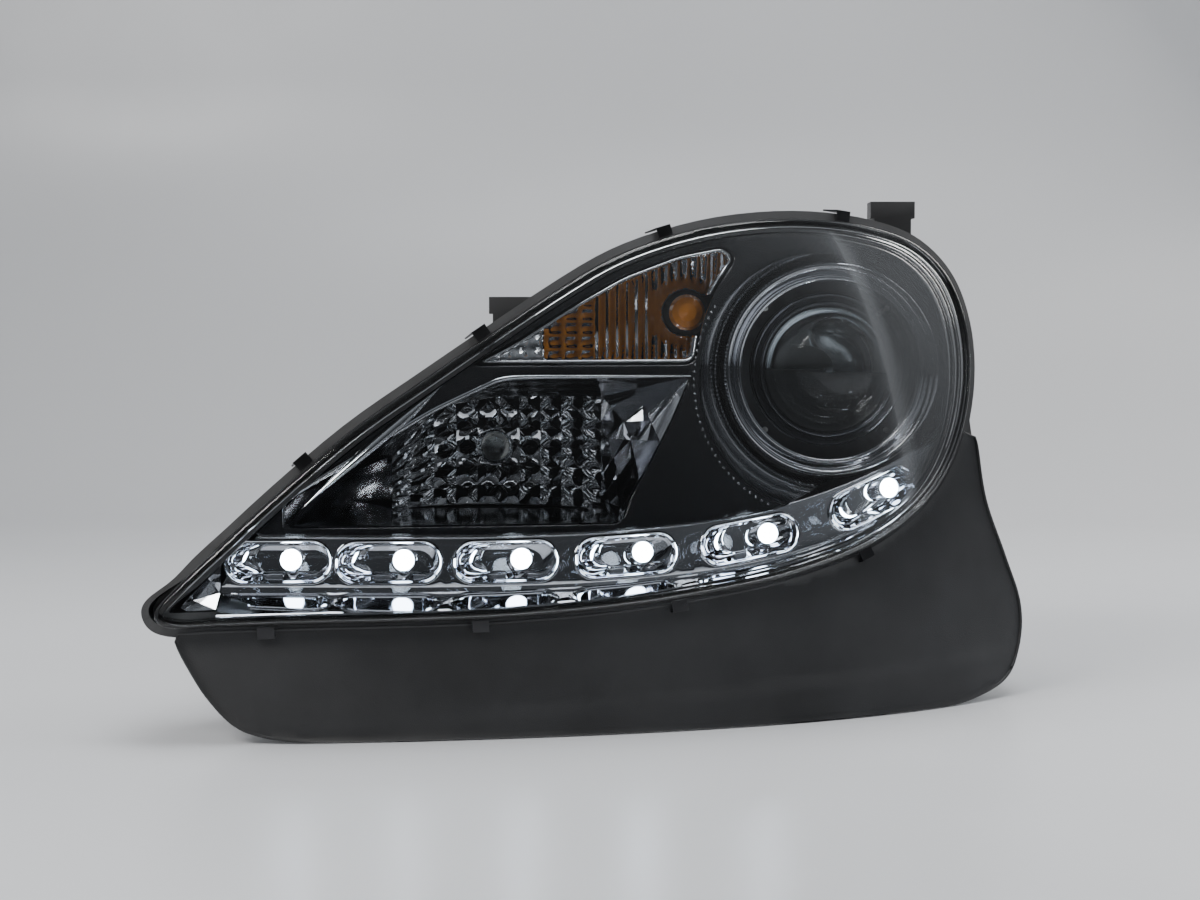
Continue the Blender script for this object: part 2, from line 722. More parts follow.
# ------------------------------------------------------------------ outlines in use
LENS_OUTLINE = resample(spline(LENS_CONTROL, closed=True), 2.4)
INNER_OUTLINE = relax(resample(inset(LENS_OUTLINE, 7.0), 2.2), 4)   # bezel and strip
STRIP_LINE = spline(STRIP_CONTROL, step=4.0)


def strip_z(x):
    """Height of the light strip's middle line."""
    if x <= STRIP_LINE[0][0]:
        return STRIP_LINE[0][1]
    for a, b in zip(STRIP_LINE, STRIP_LINE[1:]):
        if a[0] <= x <= b[0]:
            return a[1] + (b[1] - a[1]) * (x - a[0]) / (b[0] - a[0])
    return STRIP_LINE[-1][1]


def lens_bottom(x):
    """Height of the cover lens's lower edge."""
    heights = []
    for i in range(len(LENS_OUTLINE)):
        a, b = LENS_OUTLINE[i - 1], LENS_OUTLINE[i]
        if min(a[0], b[0]) <= x <= max(a[0], b[0]) and abs(a[0] - b[0]) > 1e-9:
            heights.append(a[1] + (b[1] - a[1]) * (x - a[0]) / (b[0] - a[0]))
    return min(heights)


# ------------------------------------------------------------------ cover lens
def build_lens():
    """One clean shell: outer face, rolled edge, skirt and inner face."""
    step = 6.5
    form = Form()
    face = relax(resample(inset(LENS_OUTLINE, LENS_ROLL), 2.6), 4)
    points, triangles, loops = sheet(face, [], step)
    form.add(face_ring(points, 0.0), triangles)

    edge = [points[i] for i in loops[0]]
    normals = outward(edge, reach=2, smooth=6)
    normals = [(nx / hypot(nx, nz), nz / hypot(nx, nz)) for nx, nz in normals]
    # (distance out, depth): the roll, then down the skirt and up its inner side
    profile = [(LENS_ROLL * sin(turn), LENS_ROLL * (1 - cos(turn)))
               for turn in (radians(90 * k / 6) for k in range(7))]
    profile += [(LENS_ROLL, 17.0), (LENS_ROLL - 0.4, 17.4), (0.5, 17.4), (0.1, 17.0),
                (0.0, 6.0)]
    rings = [shifted_ring(edge, normals, *station) for station in profile]
    inner = [(x - nx * 1.2, z - nz * 1.2) for (x, z), (nx, nz) in zip(edge, normals)]
    rings.append(shifted_ring(inner, normals, 0.4, 4.0))
    rings.append(face_ring(inner, LENS_THICK))
    form.rings(rings)

    points, triangles, _ = sheet(inner, [], step)
    form.add(face_ring(points, LENS_THICK), [t[::-1] for t in triangles])
    lens = make("cover_lens", form, CLEAR_LENS, replaces="outer_lens", angle=50,
                merge=0.02)
    set_face_normals(lens, depths=(0.0, LENS_THICK))


build_lens()


# ------------------------------------------------------------------ chin
def chin_y(point):
    """The chin's surface, with a soft style step part of the way down."""
    above = point[1] - (14.0 + 0.05 * (point[0] + 120))
    upper = 1.0 / (1.0 + exp(-max(-30.0, min(30.0, above * 1.6))))
    return face_y(*point) + 11.3 + 0.5 * (1 - upper) - 0.5 * upper


def build_chin():
    """Smooth front panel below the lens, with a rolled lip."""
    lower = spline(CHIN_CONTROL, step=2.4)
    rim = inset(LENS_OUTLINE, -3.4, clean=False)
    first, last = (min(range(len(rim)), key=lambda i: dist(rim[i], end))
                   for end in (lower[0], lower[-1]))
    upper = [rim[(first + i) % len(rim)] for i in range((last - first) % len(rim) + 1)]
    form = Form()
    points, triangles, loops = sheet(lower + upper[::-1], [], 4.0)
    form.add([(p[0], chin_y(p), p[1]) for p in points], triangles)

    edge = [points[i] for i in loops[0]]
    normals = outward(edge, smooth=3)
    lowest = 0.15
    # a raised bead along the rim, then back round the edge: (distance out, y shift)
    form.rings([
        [(p[0] + n[0] * out, chin_y(p) + shift, max(lowest, p[1] + n[1] * out))
         for p, n in zip(edge, normals)]
        for out, shift in ((0.0, 0.0), (0.35, -0.35), (0.8, -0.5), (1.25, -0.35), (1.5, 0.1),
                           (1.5, 3.4))])
    make("chin_skin", form, HOUSING_BLACK, angle=45, merge=0.02)


build_chin()


# ------------------------------------------------------------------ bezel and its cone
def cone_radius(y):
    return CONE_BASE + CONE_SLOPE * (SEAT_Y - y)


def cone_y(radius):
    return SEAT_Y - (radius - CONE_BASE) / CONE_SLOPE


def cone_mouth(angle):
    """(radius where the cone starts, whether that is on the bezel's face).

    Below the bezel's lower edge the cone starts at that edge's height instead.
    """
    radius = 66.0
    for _ in range(14):
        y = face_y(*polar(angle, radius)) + BEZEL_DEPTH
        radius = cone_radius(min(y, SEAT_Y)) + 1.0

    def above(radius):
        x, z = polar(angle, radius)
        return z >= strip_z(x) + BEZEL_RISE
    if above(radius):
        return radius, True
    low, high = CONE_BASE + 0.1, radius
    if not above(low):
        return low, False
    for _ in range(30):
        middle = (low + high) / 2
        if above(middle):
            low = middle
        else:
            high = middle
    return low, False


CONE_ANGLES = angles(CONE_STEPS)
CONE_MOUTH = [cone_mouth(a) for a in CONE_ANGLES]


def bezel_outline():
    """(outline, cone arc): the projector's opening is let into the bezel's lower edge."""
    upper = open_run([p for p in INNER_OUTLINE if p[1] > strip_z(p[0]) + BEZEL_RISE + 0.4])
    off_face = [i for i in range(CONE_STEPS) if not CONE_MOUTH[i][1]]
    first, last = min(off_face) - 1, max(off_face) + 1
    # from the opening's inboard side over its top to the outboard side
    arc = []
    for k in range((first - last) % CONE_STEPS + 1):
        i = (first - k) % CONE_STEPS
        arc.append(polar(CONE_ANGLES[i], CONE_MOUTH[i][0]))

    def lower_edge(start, end):
        pieces = max(2, int(abs(end - start) / 2.4))
        xs = [start + (end - start) * i / pieces for i in range(1, pieces)]
        return [(x, strip_z(x) + BEZEL_RISE) for x in xs]
    outline = (upper + lower_edge(upper[-1][0], arc[0][0]) + arc
               + lower_edge(arc[-1][0], upper[0][0]))
    return outline, arc


def cone_rings():
    """Rings from the cone's mouth down to the trim ring's seat."""
    lip = [[], [], []]
    for angle, (radius, face) in zip(CONE_ANGLES, CONE_MOUTH):
        x, z = polar(angle, radius)
        for k, ring in enumerate(lip):
            if face:
                # quarter turn of 1 mm radius off the bezel's face
                turn = k / 2 * pi / 2
                px, pz = polar(angle, radius - 1.0 * sin(turn))
                ring.append((px, face_y(x, z) + BEZEL_DEPTH + 1.0 * (1 - cos(turn)), pz))
            else:
                ring.append((x, cone_y(radius) + 0.01 * k, z))
    rings = list(lip)
    for k in range(1, 13):
        t = k / 12
        ring = []
        for angle, (x, y, z) in zip(CONE_ANGLES, lip[2]):
            start = hypot(z - LOW_Z, x - LOW_X)
            px, pz = polar(angle, start + (CONE_BASE - start) * t)
            ring.append((px, y + (SEAT_Y - y) * t, pz))
        rings.append(ring)
    seat = [(SEAT_INNER, SEAT_Y), (SEAT_INNER - 0.4, SEAT_Y + 2.0)]
    return rings + revolve(LOW_X, LOW_Z, seat, CONE_STEPS)


def build_bezel():
    """Dark face with rolled openings and the projector cone."""
    form = Form()
    turn_hole = inset(resample(round_corners(TURN_OUTLINE, 7.0), 2.0), -0.9, clean=False)
    cavity = resample(round_corners(CAVITY_FRONT, 6.0, steps=5), 2.2)
    cavity_hole = inset(cavity, -1.3, clean=False)
    outline, arc = bezel_outline()
    points, triangles, loops = sheet(outline, [turn_hole, cavity_hole], 5.0)
    form.add(face_ring(points, BEZEL_DEPTH), triangles)
    edge, turn_edge, cavity_edge = ([points[i] for i in loop] for loop in loops)
    form.rings(rolled_edge(turn_edge, side=-1, radius=0.9, straight=2.6))
    form.rings(rolled_edge(cavity_edge, side=-1, radius=0.9, straight=1.4))

    # the outer edge turns back, all but where the cone starts
    on_cone = [min(dist(p, q) for q in arc) < 0.05 for p in edge]
    count = len(edge)
    start = next(i for i in range(count) if on_cone[i - 1] and not on_cone[i])
    run = [(start + i) % count for i in range(count) if not on_cone[(start + i) % count]]
    run = [(run[0] - 1) % count] + run + [(run[-1] + 1) % count]
    rings = rolled_edge(edge, side=1, radius=0.8, straight=3.0)
    form.rings([[ring[i] for i in run] for ring in rings], closed=False)

    form.rings(cone_rings())
    make("bezel_face", form, GLOSS_BLACK, replaces="bezel", angle=40, merge=0.02)


build_bezel()


def build_cone_ribs():
    """Fine ribs round the cone, next to the projector ring's seat."""
    teeth = 168
    tooth = (0.0, 0.75, 1.0, 0.75)      # rib height at each point of one tooth
    stations = [(4.6, 0.0), (3.8, 0.7), (-2.0, 0.8), (-9.0, 0.8), (-13.0, 0.7),
                (-14.2, 0.0)]           # (y, rib height)
    steps = angles(teeth * len(tooth))
    mouths = [cone_mouth(a)[0] for a in steps]
    rings = []
    for station_y, height in stations:
        ring = []
        for i, angle in enumerate(steps):
            lift = 0.35 - height * tooth[i % len(tooth)]
            x, z = polar(angle, cone_radius(station_y) + lift)
            # stay inside the mouth of the cone where it is shallow
            y = min(max(station_y, face_y(x, z) + BEZEL_DEPTH + 1.2,
                        cone_y(mouths[i]) + 1.5), 5.6)
            x, z = polar(angle, cone_radius(y) + lift)
            ring.append((x, y, z))
        rings.append(ring)
    form = Form()
    form.rings(rings)
    make("cone_ribs", form, SMOKED_CHROME, angle=50, merge=0)


def build_cone_beads():
    """A line of small beads on the bezel beside the cone's mouth."""
    bead, height = 0.85, 0.95
    form = Form()
    for angle in angles(132):
        if not 150 < degrees(angle) < 318:
            continue
        radius, face = cone_mouth(angle)
        x, z = polar(angle, radius + 1.7)
        if not face or z < strip_z(x) + BEZEL_RISE + 2.5:
            continue
        base_y = face_y(x, z) + BEZEL_DEPTH + 0.3
        profile = []
        for k in range(4):
            rise = radians(90 * k / 3.4)
            profile.append((bead * cos(rise), base_y - height * sin(rise)))
        form.rings(revolve(x, z, profile, 10), cap_last=True)
    make("cone_beads", form, SMOKED_CHROME, angle=60, merge=0)


build_cone_ribs()
build_cone_beads()


# ------------------------------------------------------------------ projector
# Profiles are (radius, y)
TRIM_RING = [
    (47.4, 5.6), (47.0, 4.0), *fillet(48.2, 0.6, bend=1.25, start=180, end=350, steps=8),
    (49.9, 1.9), (51.4, 0.9), (52.6, -0.3),
    *fillet(54.5, -2.0, bend=2.1, start=160, end=380, steps=12),
    (56.9, 0.5), (57.0, 4.6), (56.4, 5.6),
]
PROJECTOR_LENS = [
    (0.01, 3.0), (4, 3.12), (8, 3.5), (12, 4.15), (16, 5.15), (20, 6.7), (24, 8.9),
    (27, 11.1), (29.5, 13.7), (31.5, 16.4), (33, 19.0), (34.2, 22.0), (34.8, 24.4),
    (34.7, 25.6), (34.2, 26.0), (20, 26.0), (8, 26.0), (0.01, 26.0),
]
FRONT_RING = [
    (33.6, 18.6), (33.4, 16.2), *fillet(35.2, 14.9, bend=1.3, start=190, end=350, steps=7),
    (36.9, 16.0), (37.6, 16.5), (38.3, 15.9),
    *fillet(39.4, 15.9, bend=1.1, start=180, end=360, steps=6),
    (40.5, 18.0), (40.5, 24.0), (40.0, 24.6),
]


def build_projector():
    form = Form()
    form.rings(revolve(LOW_X, LOW_Z, TRIM_RING, 192))
    make("trim_ring", form, CHROME, replaces="projector_trim_ring", angle=28,
         merge=0)
    form = Form()
    form.rings(revolve(LOW_X, LOW_Z, PROJECTOR_LENS, 128), cap_first=True, cap_last=True)
    make("projector_glass_lens", form, PROJECTOR_GLASS, body=CARRIER,
         replaces="projector_lens", angle=40)
    form = Form()
    form.rings(revolve(LOW_X, LOW_Z, FRONT_RING, 144))
    make("projector_front_ring", form, DARK_CHROME, body=CARRIER, angle=30, merge=0)


build_projector()


# ------------------------------------------------------------------ daytime-light strip
def stadium(width, height, sides=8, ends=18):
    """Stadium outline about the origin, with the same number of points at any size."""
    radius, half = height / 2, (width - height) / 2
    bottom = [(-half + 2 * half * i / sides, -radius) for i in range(sides)]
    top = [(half - 2 * half * i / sides, radius) for i in range(sides)]
    right = [polar(radians(-90 + 180 * i / ends), radius, half, 0) for i in range(ends)]
    left = [polar(radians(90 + 180 * i / ends), radius, -half, 0) for i in range(ends)]
    return bottom + right + top + left


def in_pocket(points, pocket, shift=0.0):
    """Moves points from the pocket's own frame into (x, z)."""
    middle_x, roll, _ = pocket
    c, s = cos(radians(roll)), sin(radians(roll))
    middle_z = strip_z(middle_x)
    return [(middle_x + (u + shift) * c - v * s, middle_z + (u + shift) * s + v * c)
            for u, v in points]


def led_center(pocket):
    return in_pocket([(0, 0)], pocket, pocket[2])[0]


def strip_outline():
    bottom, top = [], []
    x = STRIP_START
    while x < 66:
        for points, rise in ((bottom, -11.5), (top, 12.3)):
            point = (x, strip_z(x) + rise)
            if inside(point, INNER_OUTLINE):
                points.append(point)
        x += 2.4
    end = [p for p in INNER_OUTLINE
           if p[0] > 20 and strip_z(p[0]) - 11.0 < p[1] < strip_z(p[0]) + 11.8
           and p[0] > bottom[-1][0] - 1]
    return bottom + end + top[::-1]


def add_pocket(form, pocket):
    """Rolled rim, concave walls, and a back plate with a collared hole for the LED."""
    rim = [(4.0, 0.0), (3.5, -0.75), (2.6, -1.1), (1.7, -1.0), (1.0, -0.5),
           (0.6, 0.3)]                  # (growth of the outline, depth behind the panel)
    rings = [face_ring(in_pocket(stadium(POCKET_W + grow, POCKET_H + grow), pocket),
                       STRIP_DEPTH + depth) for grow, depth in rim]
    # the shift outboard makes the inboard wall sweep further
    wall_steps, sweep = 12, radians(74)
    for i in range(wall_steps + 1):
        turn = radians(74 * i / wall_steps)
        closing = (1 - cos(turn)) / (1 - cos(sweep))
        outline = stadium(POCKET_W - closing * (POCKET_W - PLATE_W),
                          POCKET_H - closing * (POCKET_H - PLATE_H))
        rings.append(face_ring(in_pocket(outline, pocket, PLATE_SHIFT * closing),
                               STRIP_DEPTH + 0.6 + 17.0 * sin(turn) / sin(sweep)))
    form.rings(rings)

    back = STRIP_DEPTH + POCKET_DEEP
    groove = ((0.0, 0.0), (0.4, 0.9), (1.2, 1.1), (1.9, 0.7))    # (shrink, depth)
    form.rings([face_ring(in_pocket(stadium(PLATE_W - shrink, PLATE_H - shrink), pocket,
                                    PLATE_SHIFT), back + depth)
                for shrink, depth in groove])
    plate = in_pocket(stadium(PLATE_W - 1.9, PLATE_H - 1.9), pocket, PLATE_SHIFT)
    hole = in_pocket([(5.9 * cos(a), 5.6 * sin(a)) for a in angles(40)], pocket, pocket[2])
    points, triangles, loops = sheet(plate, [hole], 2.6)
    form.add(face_ring(points, back + 0.7), triangles)
    center = led_center(pocket)
    hole_edge = [points[i] for i in loops[1]]
    collar = ((1.0, 0.7), (0.985, 0.35), (0.95, 0.2), (0.915, 0.35), (0.90, 0.9),
              (0.88, 2.2))              # (scale about the LED, depth)
    form.rings([face_ring([between(center, p, scale) for p in hole_edge], back + depth)
                for scale, depth in collar])


def add_ledge(form):
    """A short riser under the pockets, then a shelf running forward and down to the lens."""
    xs = [STRIP_START + 2.0 * i for i in range(180)]
    creases = [(a[0] + b[0]) / 2 for a, b in zip(POCKETS, POCKETS[1:])]
    rows, ends = [], []
    for j in range(13):
        row = []
        for x in xs:
            top = strip_z(x) - 11.4
            height = top - min(lens_bottom(min(x, 52.0)) + 5.0, top - 0.6)
            if j <= 2:
                t = j / 2
                z, shift = top - 0.26 * height * t, -0.3 * t
            else:
                t = (j - 2) / 10
                z = top - 0.26 * height - 0.74 * height * t
                near = max(0, 1 - min(abs(x - c) for c in creases) / 7.0)
                shift = -0.3 - 15.0 * min(1.0, height / 9.5) * t - 0.9 * near * sin(pi * t)
            if x > 20 and not inside((x, z), INNER_OUTLINE):
                break
            row.append((x, face_y(x, z) + STRIP_DEPTH + 0.1 + shift, z))
        rows.append(row)
        ends.append(len(row))
    rows = [row[:min(ends)] for row in rows]
    form.rings(rows, closed=False)
    # lip where the ledge meets the lens: (y shift, z shift)
    lip = ((0.0, 0.0), (-0.4, -0.6), (0.4, -1.3), (4.0, -1.4))
    form.rings([[(x, y + back, z + rise) for x, y, z in rows[-1]] for back, rise in lip],
               closed=False)


def build_strip():
    form = Form()
    holes = [in_pocket(stadium(POCKET_W + 4.0, POCKET_H + 4.0), pocket) for pocket in POCKETS]
    points, triangles, loops = sheet(resample(strip_outline(), 2.0), holes, 3.6)
    form.add(face_ring(points, STRIP_DEPTH), triangles)
    form.rings(rolled_edge([points[i] for i in loops[0]], side=1, radius=0.7, straight=2.4,
                           depth=STRIP_DEPTH, steps=3))
    for pocket in POCKETS:
        add_pocket(form, pocket)
    add_ledge(form)
    make("light_strip_reflector", form, CHROME,
         replaces="led_strip_reflector", angle=30, merge=0.02)


def build_tip():
    """Cut-stone facets in the pointed inboard end."""
    edge = pick(open_run([p for p in INNER_OUTLINE
                          if p[0] < STRIP_START - 0.6 and p[1] < strip_z(p[0]) + 12.0]), 8)
    loop = edge + [(STRIP_START - 0.3, z) for z in (69.0, 77.0, 86.0, 94.5)]
    middles = [(-313.0, 65.5, 19.0), (-305.5, 74.0, 22.5), (-303.2, 86.5, 20.2)]  # x, z, depth
    count = len(loop)
    verts = [on_face(p, 16.4 if i < len(edge) else 18.0 + 1.6 * (i % 2))
             for i, p in enumerate(loop)]
    verts += [on_face(m[:2], m[2]) for m in middles]
    nearest = [min(range(3), key=lambda m: dist(p, middles[m][:2])) for p in loop]
    faces = []
    for i in range(count):
        j = (i + 1) % count
        faces.append((i, j, count + nearest[i]))
        if nearest[i] != nearest[j]:
            faces.append((j, count + nearest[j], count + nearest[i]))
    form = Form()
    form.add(verts, faces)
    make("strip_tip_facets", form, CHROME, angle=2)


build_strip()
build_tip()

# LED optic profiles: (radius, y from the LED's depth)
OPTIC_CAP = [(0.02, -2.6), (1.4, -2.5), (2.7, -2.1), (3.8, -1.4), (4.6, -0.4), (5.0, 0.8),
             (5.1, 2.0)]
OPTIC_BODY = [(5.0, 1.3), (5.35, 1.5), (5.35, 2.4), (5.0, 2.7), (5.05, 7.4), (5.5, 8.2),
              (5.5, 8.7)]


def led_form(profile, segments, cap_first):
    """The profile turned round each LED, leant most of the way with the formed surface."""
    form = Form()
    for pocket in POCKETS:
        center = led_center(pocket)
        center_y = face_y(*center)
        rings = [[(x, center_y + LED_DEPTH + y + (face_y(x, z) - center_y) * 0.9, z)
                  for x, y, z in ring] for ring in revolve(*center, profile, segments)]
        form.rings(rings, cap_first=cap_first)
    return form


make("led_optics", led_form(OPTIC_CAP, 36, cap_first=True), OPTIC_LIT,
     replaces="led_lenses", angle=60, merge=0)
make("led_optic_bodies", led_form(OPTIC_BODY, 40, cap_first=False), CHROME,
     merge=0)


# ------------------------------------------------------------------ high beam cavity
def tunnel_point(edge, t, depth, inward):
    """Point on the cavity wall: edge number, 0..1 along it, 0..1 back, mm off the wall."""
    following = (edge + 1) % len(CAVITY_FRONT)
    front = between(CAVITY_FRONT[edge], CAVITY_FRONT[following], t)
    back = between(CAVITY_BACK[edge], CAVITY_BACK[following], t)
    x, z = between(front, back, depth)
    y = (face_y(*front) + BEZEL_DEPTH + 1.0) * (1 - depth) + CAVITY_BACK_Y * depth
    x, z = between((x, z), CAVITY_MIDDLE, inward / dist((x, z), CAVITY_MIDDLE))
    return (x, y, z)


def build_cavity_walls():
    """Inboard, top and bottom walls; the upper ones have three soft ripples front to back."""
    depth_steps = 16
    form = Form()
    for edge, pieces in ((0, 6), (1, 26), (2, 12), (3, 26), (8, 40)):
        rings = []
        for j in range(depth_steps + 1):
            depth = j / depth_steps
            ripple = 0.7 * abs(sin(depth * pi * 3)) if edge in (1, 2, 3) else 0.0
            rings.append([tunnel_point(edge, i / pieces, depth, 0.5 + ripple)
                          for i in range(pieces + 1)])
        form.rings(rings, closed=False)
    make("cavity_walls", form, DARK_CHROME, replaces="high_beam_surround",
         angle=24, merge=0.05)


def build_cavity_facets():
    """Cut facets on the outboard wall."""
    columns = [(edge, t) for edge in (4, 5, 6, 7) for t in (0.0, 0.5)] + [(7, 1.0)]
    count, depth_steps = len(columns), 5
    verts, faces = [], []
    for j in range(depth_steps + 1):
        for i, (edge, t) in enumerate(columns):
            inward = 0.5
            if 0 < j < depth_steps and 0 < i < count - 1:
                inward += (2.6 if (i + j) % 2 else -0.1) + random.uniform(-0.3, 0.6)
            verts.append(tunnel_point(edge, t, j / depth_steps, inward))
    for j in range(depth_steps):
        for i in range(count - 1):
            a = j * count + i
            b, c, d = a + 1, a + count + 1, a + count
            faces += [(a, b, c), (a, c, d)] if (i + j) % 2 else [(a, b, d), (b, c, d)]
    form = Form()
    form.add(verts, faces)
    make("cavity_facets", form, CHROME, angle=3)


def build_cavity_edge():
    """Bright bead along the opening's inboard and top sides, thinning at both ends."""
    path = [between(CAVITY_FRONT[edge], CAVITY_FRONT[edge + 1], i / 24)
            for edge in range(4) for i in range(24)] + [CAVITY_FRONT[4]]
    for _ in range(10):                 # soften the corners
        path = [path[0]] + [tuple((a + 2 * b + c) / 4 for a, b, c in zip(*three))
                            for three in zip(path, path[1:], path[2:])] + [path[-1]]
    count = len(path)
    rings = []
    for around in angles(10):
        ring = []
        for i, (x, z) in enumerate(path):
            start, end = path[max(0, i - 1)], path[min(count - 1, i + 1)]
            length = dist(start, end)
            width = 1.25 * min(1.0, 0.25 + 3.0 * min(i, count - 1 - i) / count)
            out = width * cos(around) / length
            ring.append((x - (end[1] - start[1]) * out,
                         face_y(x, z) + BEZEL_DEPTH + 0.1 + width * 0.9 * sin(around),
                         z + (end[0] - start[0]) * out))
        rings.append(ring)
    form = Form()
    form.rings(rings + rings[:1], closed=False)
    make("cavity_bright_edge", form, CHROME, angle=60)


def build_blade():
    """Slim bright blade between the lens edge and the high beam opening."""
    upper = spline([(-264, 107), (-250, 122.5), (-232, 139.5), (-213, 155.5), (-196, 167.5)],
                   step=2.0)
    lower = spline([(-264, 107), (-247, 119.5), (-228, 134.5), (-211, 150), (-196, 167.5)],
                   step=2.0)
    count = min(len(upper), len(lower))
    upper, lower = pick(upper, count), pick(lower, count)
    rings = []
    for k in range(9):
        t = k / 8
        ring = []
        for i in range(count):
            swell = sin(pi * i / (count - 1)) ** 0.6
            ring.append(on_face(between(upper[i], lower[i], t),
                                BEZEL_DEPTH + 0.6 - 3.2 * swell * sin(pi * t) ** 0.7))
        rings.append(ring)
    form = Form()
    form.rings(rings, closed=False)
    make("bezel_bright_blade", form, CHROME, angle=45)


build_cavity_walls()
build_cavity_facets()
build_cavity_edge()
build_blade()

# ------------------------------------------------------------------ high beam reflector
HIGH_FOCAL = 21.0                       # focal length of the paraboloid


def bowl_top(x):
    """Upper edge of the high beam bowl."""
    if x < -205:
        return 126 + (x + 231) * (158 - 126) / 26.0
    if x < -190:
        return 158 + (x + 205) * 5 / 15.0
    return 162.8


def build_high_bowl():
    """Rows of pillow facets over a paraboloid, with a hole for the bulb."""
    columns, rows, pieces = 10, 6, 7    # facets across and up, mesh steps per facet
    left, right, bottom = -230.6, -117.4, 101.2
    across, up = columns * pieces, rows * pieces
    verts, faces = [], []
    for j in range(up + 1):
        for i in range(across + 1):
            x = left + (right - left) * (i / across)
            z = bottom + (bowl_top(x) - 0.4 - bottom) * (j / up)
            square = (x - HIGH_X) ** 2 + (z - HIGH_Z) ** 2
            column, row = min(i // pieces, columns - 1), min(j // pieces, rows - 1)
            u, v = i / pieces - column, j / pieces - row
            u, v = (i - column * pieces) / pieces, (j - row * pieces) / pieces
            pillow = (1 - (2 * u - 1) ** 2) * (1 - (2 * v - 1) ** 2)
            # a ridge along one diagonal, alternating from facet to facet
            diagonal = abs(u - v) if (column + row) % 2 else abs(u + v - 1)
            ridge = (1 - diagonal) * (1 - abs(2 * u - 1)) * (1 - abs(2 * v - 1))
            bulge = 0.75 * pillow + 0.45 * ridge
            verts.append((x, max(-square / (4 * HIGH_FOCAL), -43.0) - 1.9 * bulge, z))
    width = across + 1
    for j in range(up):
        for i in range(across):
            a, c = j * width + i, (j + 1) * width + i + 1
            middle_x, middle_z = ((verts[a][k] + verts[c][k]) / 2 for k in (0, 2))
            if hypot(middle_x - HIGH_X, middle_z - HIGH_Z) >= 8.6:
                faces.append((a, a + 1, c, c - 1))
    form = Form()
    form.add(verts, faces)
    make("high_beam_bowl", form, ALUMINISED, body=CARRIER,
         replaces="high_beam_reflector", angle=9, merge=0.005, solidify=(0.0016, -1.0))


def build_high_neck():
    """Collar round the bulb hole, and four posts behind the bowl."""
    collar = [(10.8, -0.2), (10.6, -2.3), (9.6, -3.0), (8.4, -2.7), (7.4, -1.6), (7.3, 3.6),
              (17.0, 3.8), (17.0, 2.4)]
    form = Form()
    form.rings(revolve(HIGH_X, HIGH_Z, collar, 72))
    for post_x, post_z in ((-38, -14), (38, -14), (-24, 20), (38, 18)):
        front_y = -(post_x * post_x + post_z * post_z) / (4 * HIGH_FOCAL) + 1.0
        post = [(4.6, front_y), (4.4, 25.6), (4.0, 25.9), (1.6, 25.9), (1.55, 14.0)]
        form.rings(revolve(HIGH_X + post_x, HIGH_Z + post_z, post, 28))
    make("high_beam_neck", form, ALUMINISED, body=CARRIER, angle=35, merge=0)


build_high_bowl()
build_high_neck()

# ------------------------------------------------------------------ turn signal bowl
TURN_FOCAL, TURN_VERTEX_Y = 17.0, 8.0
TURN_HOLE = 12.2                        # radius of the bulb hole
TURN_PLAIN = 15                         # plain out to this radius
FLUTE_EDGE = -124                       # flutes outboard of this x, pillows inboard


def turn_y(x, z):
    """Paraboloid with flutes and pillows that fade in away from the bulb."""
    square = (x - TURN_X) ** 2 + (z - TURN_Z) ** 2
    y = max(TURN_VERTEX_Y - square / (4 * TURN_FOCAL), face_y(x, z) + BEZEL_DEPTH + 3.5)
    radius = square ** 0.5
    if radius < TURN_PLAIN:
        return y
    fade = min(1.0, (radius - TURN_PLAIN) / 5.0)
    if x > FLUTE_EDGE:
        return y - 1.5 * fade * abs(sin(pi * (x - FLUTE_EDGE) / 5.2)) ** 0.8
    pillow = abs(sin(pi * (x - FLUTE_EDGE) / 8.0)) * abs(sin(pi * (z - 176) / 7.0))
    return y - 1.3 * fade * pillow ** 0.9


def build_turn():
    center = (TURN_X, TURN_Z)
    outline = inset(resample(round_corners(TURN_OUTLINE, 6.0), 1.8), 1.9)
    rim = open_run([p for p in outline if dist(p, center) > TURN_HOLE])
    # the bulb hole breaks through the outboard side: close the rim along its inner arc
    start, end = (atan2(p[1] - TURN_Z, p[0] - TURN_X) for p in (rim[-1], rim[0]))
    spans = ((end - start) % (2 * pi), -((start - end) % (2 * pi)))
    span = next(s for s in spans
                if inside(polar(start + s / 2, TURN_HOLE, *center), outline))
    pieces = max(4, int(abs(span) * TURN_HOLE / 1.8))
    arc = [polar(start + span * i / pieces, TURN_HOLE, *center) for i in range(1, pieces)]

    points, triangles, loops = sheet(rim + arc, [], 1.35)
    form = Form()
    form.add([(x, turn_y(x, z), z) for x, z in points], triangles)
    # wall from the bowl forward to the bezel, except along the arc
    edge = [points[i] for i in loops[0]]
    verts, faces = [], []
    for i, (x, z) in enumerate(edge):
        verts += [(x, turn_y(x, z), z), (x, face_y(x, z) + BEZEL_DEPTH + 1.6, z)]
        j = i + 1
        if j < len(rim):
            faces.append((2 * i, 2 * j, 2 * j + 1, 2 * i + 1))
    form.add(verts, faces)
    make("turn_signal_bowl", form, ALUMINISED, replaces="turn_reflector",
         angle=38, merge=0.02, solidify=(0.0012, 0.0))


build_turn()


